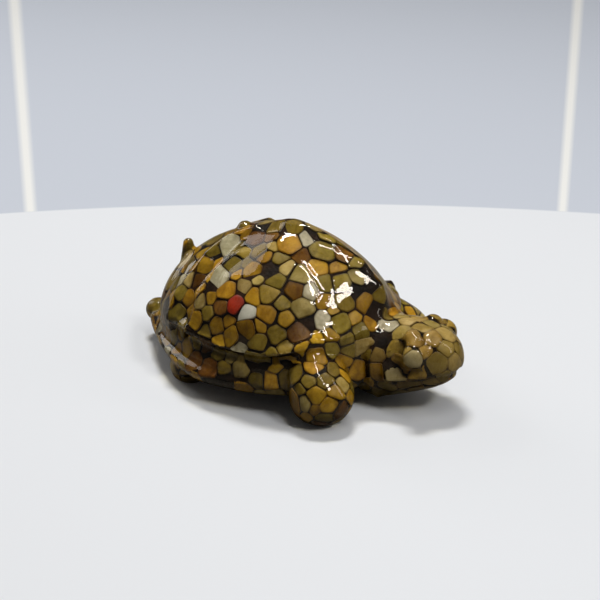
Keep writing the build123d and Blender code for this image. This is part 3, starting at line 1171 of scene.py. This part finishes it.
    def gathered(self, name: str, outlines: list[np.ndarray]) -> bpy.types.Object:
        """Builds a group of stones as one piece.

        Args:
            name: the piece's name.
            outlines: the outline of each stone.

        Returns:
            The piece.
        """
        forms, rim_shade_shares, owns = [], [], []
        for outline in outlines:
            form, edge = self.chip(outline)
            forms.append(form)
            rim_shade_shares.append(edge)
            owns.append(np.full(len(edge), self.choice.random()))
        made = made_mesh(name, joined(forms))
        # Each point's share of painted shade, and each chip's own random number
        for label, values in (("edge", rim_shade_shares), ("chip", owns)):
            layer = made.data.attributes.new(label, "FLOAT", "POINT")
            layer.data.foreach_set("value", np.concatenate(values).astype(np.float32))
        return made


@dataclass(frozen=True)
class GapHollows:
    """Faint hollows of the resin over the gaps, which break up the lamps' reflections, in millimetres."""

    depth: float = 0.032
    width: float = 0.36
    neighbour_count: int = 6

    def carve(self, skin: bpy.types.Object, surface: Surface, sites: list[Site]) -> None:
        """Sinks the skin along the gaps between the stones.

        Args:
            skin: the resin skin.
            surface: its surface before.
            sites: all the sites.
        """
        tree = search_tree(sites)
        near = np.array([[i for _, i, _ in tree.find_n(Vector(p), self.neighbour_count)] for p in surface.places])
        stood = np.array([site.place for site in sites])[near]
        pushes = np.array([site.push for site in sites])[near]
        inside = np.zeros(len(near))
        for i in range(self.neighbour_count):
            room = np.full(len(near), np.inf)
            for j in range(self.neighbour_count):
                if j != i:
                    way = stood[:, j] - stood[:, i]
                    apart = np.maximum(np.linalg.norm(way, axis=1), 1e-6)
                    along = ((surface.places - stood[:, i]) * way).sum(1) / apart
                    room = np.minimum(room, (apart + pushes[:, i] - pushes[:, j]) / 2 - along)
            inside = np.maximum(inside, room)
        sunk = surface.places - surface.normals * (self.depth * np.exp(-(inside / self.width) ** 2))[:, None]
        sunk[:, 2] = np.maximum(sunk[:, 2], 0.0)
        move_points(skin.data, sunk)


@dataclass(frozen=True)
class BinderBody:
    """Dark packed core that closes the gaps a little below the chips' faces."""

    depth: float = 0.85
    smoothing: int = 4
    face_share: float = 0.35

    def build(self, skin: bpy.types.Object, surface: Surface) -> bpy.types.Object:
        """Draws the skin in to the binder's depth.

        Args:
            skin: the resin skin.
            surface: its surface.

        Returns:
            The binder.
        """
        made = linked("dark_binder", skin.data.copy())
        move_points(made.data, surface.places - surface.normals * self.depth)
        smooth = made.modifiers.new("Rounding", "SMOOTH")
        smooth.factor, smooth.iterations = 0.5, self.smoothing
        made.modifiers.new("Fewer faces", "DECIMATE").ratio = self.face_share
        return made


@dataclass(frozen=True)
class Figurine:
    """The whole turtle: casting, binder and gravel over the CAD nodes."""

    casting: ResinCasting = ResinCasting()

    def build(self) -> None:
        """Builds and dresses every piece."""
        skin = self.casting.build()
        surface = Surface.of(skin)
        self.dress(skin, ClearResin().material(), "clear_resin",
                   [node for node in sorted(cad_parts) if not node.endswith(("_stones", "_core"))])
        self.build_binder(skin, surface)
        self.build_gravel(skin, surface)

    def build_binder(self, skin: bpy.types.Object, surface: Surface) -> None:
        """Builds the binder and gives the cores that stay in view the same finish.

        Args:
            skin: the resin skin.
            surface: its surface.
        """
        binder = DarkBinder().material()
        self.dress(BinderBody().build(skin, surface), binder, "packed_core", [])
        for node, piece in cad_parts.items():
            if node.endswith("_core"):
                piece.data.materials.clear()
                piece.data.materials.append(binder)

    def build_gravel(self, skin: bpy.types.Object, surface: Surface) -> None:
        """Packs the stones, grouped by part and kind, and carves the hollows between them.

        Args:
            skin: the resin skin.
            surface: its surface.
        """
        group = mottled_stone_group()
        stone = {kind.value.name: kind.value.material(group) for kind in Kind}
        head_stone = {kind.value.name: kind.value.towards(KHAKI, KHAKI_SHARE).material(group) for kind in Kind}
        gravel = Gravel(surface)
        nodes = [node for node in sorted(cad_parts) if node.endswith("_stones")]
        sites = [site for node in nodes for site in gravel.sites_of(node)]
        for side in SIDES:
            for (x, y, z), push in self.casting.head.large_chips:
                gravel.enlarge(sites, (x, side * y, z), push)
        sites += gravel.splinters(sites)
        outlines = gravel.outlines(sites)
        GapHollows().carve(skin, surface, sites)
        families: dict[tuple[str, str], list[Site]] = {}
        for site in sites:
            if site.kind and id(site) in outlines:
                families.setdefault((site.family, site.kind), []).append(site)
        for (family, kind), members in sorted(families.items()):
            has_node, finishes = members[0].has_node, head_stone if members[0].on_head else stone
            name = f"{family}_polished" if has_node else f"{family}{kind}_splinters"
            piece = gravel.gathered(name, [outlines[id(site)] for site in members])
            self.dress(piece, finishes[kind], f"{kind}_stone", [family] if has_node else [])
        self.dress(made_mesh("peg_chips", joined(self.casting.long_chips())), stone["olive"], "olive_stone", [])

    @staticmethod
    def dress(piece: bpy.types.Object, material: bpy.types.Material, slot: str, stands_for: list[str]) -> None:
        """Gives a piece its finish and its place in the frame.

        Args:
            piece: the piece.
            material: its material.
            slot: not used.
            stands_for: the CAD nodes that it replaces.
        """
        piece.data.materials.clear()
        piece.data.materials.append(material)
        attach(piece, "root")
        if stands_for:
            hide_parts(*stands_for)
        LOG.info("%s: %d faces, stands for %d nodes", piece.name, len(piece.data.polygons), len(stands_for))


# Studio

def aimed(name: str, data: bpy.types.ID, place: Vector, way: Vector) -> bpy.types.Object:
    """Puts up a camera or a lamp.

    Args:
        name: its name.
        data: its settings.
        place: where it stands, in millimetres.
        way: the way it looks.

    Returns:
        The new object.
    """
    made = linked(name, data)
    made.location = place * MM
    made.rotation_mode = "QUATERNION"
    made.rotation_quaternion = way.to_track_quat("-Z", "Y")
    return made


@dataclass(frozen=True)
class PhotoCamera:
    """Camera at the photograph's place, in degrees, millimetres and pixels."""

    azimuth: float = 31.0
    elevation: float = 26.0
    distance: float = 330.0
    focal: float = 1482.0
    aim: Point = (0.3, 0.0, 0.0)
    aim_pixel: Span = (296.0, 370.0)

    def axes(self) -> tuple[Vector, Vector, Vector]:
        """Works out how the camera is turned.

        Returns:
            The ways back to the camera, right and up.
        """
        a, e = math.radians(self.azimuth), math.radians(self.elevation)
        back = Vector((math.sin(a) * math.cos(e), -math.cos(a) * math.cos(e), math.sin(e)))
        right = Vector((math.cos(a), math.sin(a), 0.0))
        return back, right, back.cross(right)

    def stand(self) -> Vector:
        """Returns where the camera stands."""
        return Vector(self.aim) + self.axes()[0] * self.distance

    def away(self) -> Vector:
        """Returns the level way from the camera over the object."""
        back = self.axes()[0]
        return Vector((-back.x, -back.y, 0.0)).normalized()

    def build(self) -> None:
        """Makes the camera and turns it to the photograph's middle."""
        back, right, up = self.axes()
        middle = PHOTO_SIDE / 2
        view = (-back + right * ((middle - self.aim_pixel[0]) / self.focal)
                + up * ((self.aim_pixel[1] - middle) / self.focal))
        data = bpy.data.cameras.new("camera")
        data.sensor_width = SENSOR_WIDTH
        data.lens = self.focal / PHOTO_SIDE * SENSOR_WIDTH
        data.clip_start, data.clip_end = 0.01, 20.0
        bpy.context.scene.camera = aimed("camera", data, self.stand(), view)


@dataclass(frozen=True)
class Softbox:
    """Rectangular lamp, in millimetres and watts."""

    name: str
    place: Point
    size: Span
    watts: float
    aim: Point = (0.0, 0.0, 15.0)

    def build(self) -> None:
        """Makes the lamp."""
        data = bpy.data.lights.new(self.name, "AREA")
        data.shape = "RECTANGLE"
        data.size, data.size_y = self.size[0] * MM, self.size[1] * MM
        data.energy = self.watts
        aimed(self.name, data, Vector(self.place), Vector(self.aim) - Vector(self.place))


@dataclass(frozen=True)
class Studio:
    """Pale table, pale wall and soft lamps, in millimetres."""

    camera: PhotoCamera = PhotoCamera()
    table_radius: float = 435.0
    table_edge_beyond: float = 110.0
    table_edge_blur: float = 0.6
    floor_reach: float = 4000.0
    table_tint: Rgb = (0.80, 0.812, 0.83)
    table_roughness: float = 0.55
    table_specular: float = 0.25
    wall_tint: Rgb = (0.59, 0.62, 0.68)
    bounce_tint: Rgb = (0.27, 0.25, 0.21)
    # Colour of the painted strips of light on the background
    light_strip_tint: Rgb = (0.88, 0.87, 0.83)
    # Sideways slope and half width of each painted strip of light on the background, seen from the camera
    strip_slopes: tuple[Span, ...] = ((-0.190, 0.0035), (0.191, 0.003))
    fill_tint: Rgb = (0.072, 0.072, 0.073)
    lamps: tuple[Softbox, ...] = (
        Softbox("back_box", (-160.0, 200.0, 740.0), (190.0, 100.0), 3.45),
        Softbox("front_strip", (200.0, -110.0, 720.0), (20.0, 400.0), 1.0),
        Softbox("right_box", (415.0, -110.0, 560.0), (120.0, 100.0), 1.1),
        Softbox("left_panel", (-530.0, 120.0, 300.0), (200.0, 420.0), 0.6),
        Softbox("right_panel", (460.0, 160.0, 300.0), (60.0, 380.0), 0.2),
    )

    def floor(self) -> None:
        """Lays the table and the plain ground beyond it."""
        reach = self.floor_reach
        corners = np.array([(x * reach, y * reach, 0.0) for x, y in ((-1, -1), (1, -1), (1, 1), (-1, 1))])
        piece = made_mesh("floor", (corners, [(0, 1, 2, 3)]))
        made, nodes = new_material("pale_table", colour(self.table_tint))
        middle = self.camera.away() * (self.table_edge_beyond - self.table_radius) * MM
        where = nodes.place()
        apart = nodes.vector_maths("DISTANCE", where, middle, "Value")
        edge, blur = self.table_radius * MM, self.table_edge_blur * MM
        beyond = nodes.spread(apart, edge - blur, edge + blur, 0.0, 1.0)
        tone = nodes.mixed(beyond, colour(self.table_tint), colour(self.wall_tint))
        # Painted light: two bright upright strips on the ground beyond the table stand in for the light at the
        # background's sides
        tone = nodes.mixed(nodes.maths("MULTIPLY", beyond, self.painted_light_strips(nodes, where)), tone, colour(self.light_strip_tint))
        seen = nodes.add("ShaderNodeLightPath").outputs["Is Camera Ray"]
        nodes.show(nodes.add("ShaderNodeBsdfPrincipled", {
            "Base Color": nodes.mixed(seen, colour(self.bounce_tint), tone), "Roughness": self.table_roughness,
            "Specular IOR Level": self.table_specular}))
        piece.data.materials.append(made)

    def painted_light_strips(self, nodes: Nodes, where: bpy.types.NodeSocket) -> bpy.types.NodeSocket:
        """Paints the two bright upright strips of light at the sides of the background.

        Args:
            nodes: the floor material's nodes.
            where: the place on the ground.

        Returns:
            How much of a strip lies there, up to 1.
        """
        arm = nodes.vector_maths("SUBTRACT", where, self.camera.stand() * MM)
        along, aside = (nodes.vector_maths("DOT_PRODUCT", arm, way, "Value")
                        for way in (self.camera.away(), self.camera.axes()[1]))
        slope = nodes.maths("DIVIDE", aside, along)
        marks = []
        for middle, half in self.strip_slopes:
            off = nodes.maths("ABSOLUTE", nodes.maths("SUBTRACT", slope, middle))
            marks.append(nodes.spread(off, half * 0.4, half * 1.6, 1.0, 0.0))
        return nodes.maths("MAXIMUM", *marks)

    def world(self) -> None:
        """Lights the scene evenly from all round, with a pale background for what the camera sees."""
        world = bpy.data.worlds.new("studio")
        world.use_nodes = True
        world.node_tree.nodes.clear()
        nodes = Nodes(world.node_tree)
        seen = nodes.add("ShaderNodeLightPath").outputs["Is Camera Ray"]
        tone = nodes.mixed(seen, colour(self.fill_tint), colour(self.wall_tint))
        nodes.show(nodes.add("ShaderNodeBackground", {"Color": tone, "Strength": 1.0}), "ShaderNodeOutputWorld")
        bpy.context.scene.world = world

    def build(self) -> None:
        """Sets up the whole studio."""
        self.camera.build()
        self.floor()
        self.world()
        for lamp in self.lamps:
            lamp.build()
        bpy.context.scene.view_settings.view_transform = "Standard"


def main() -> None:
    """Builds the studio and the figurine."""
    Studio().build()
    Figurine().build()


if __name__ == "__main__":
    main()
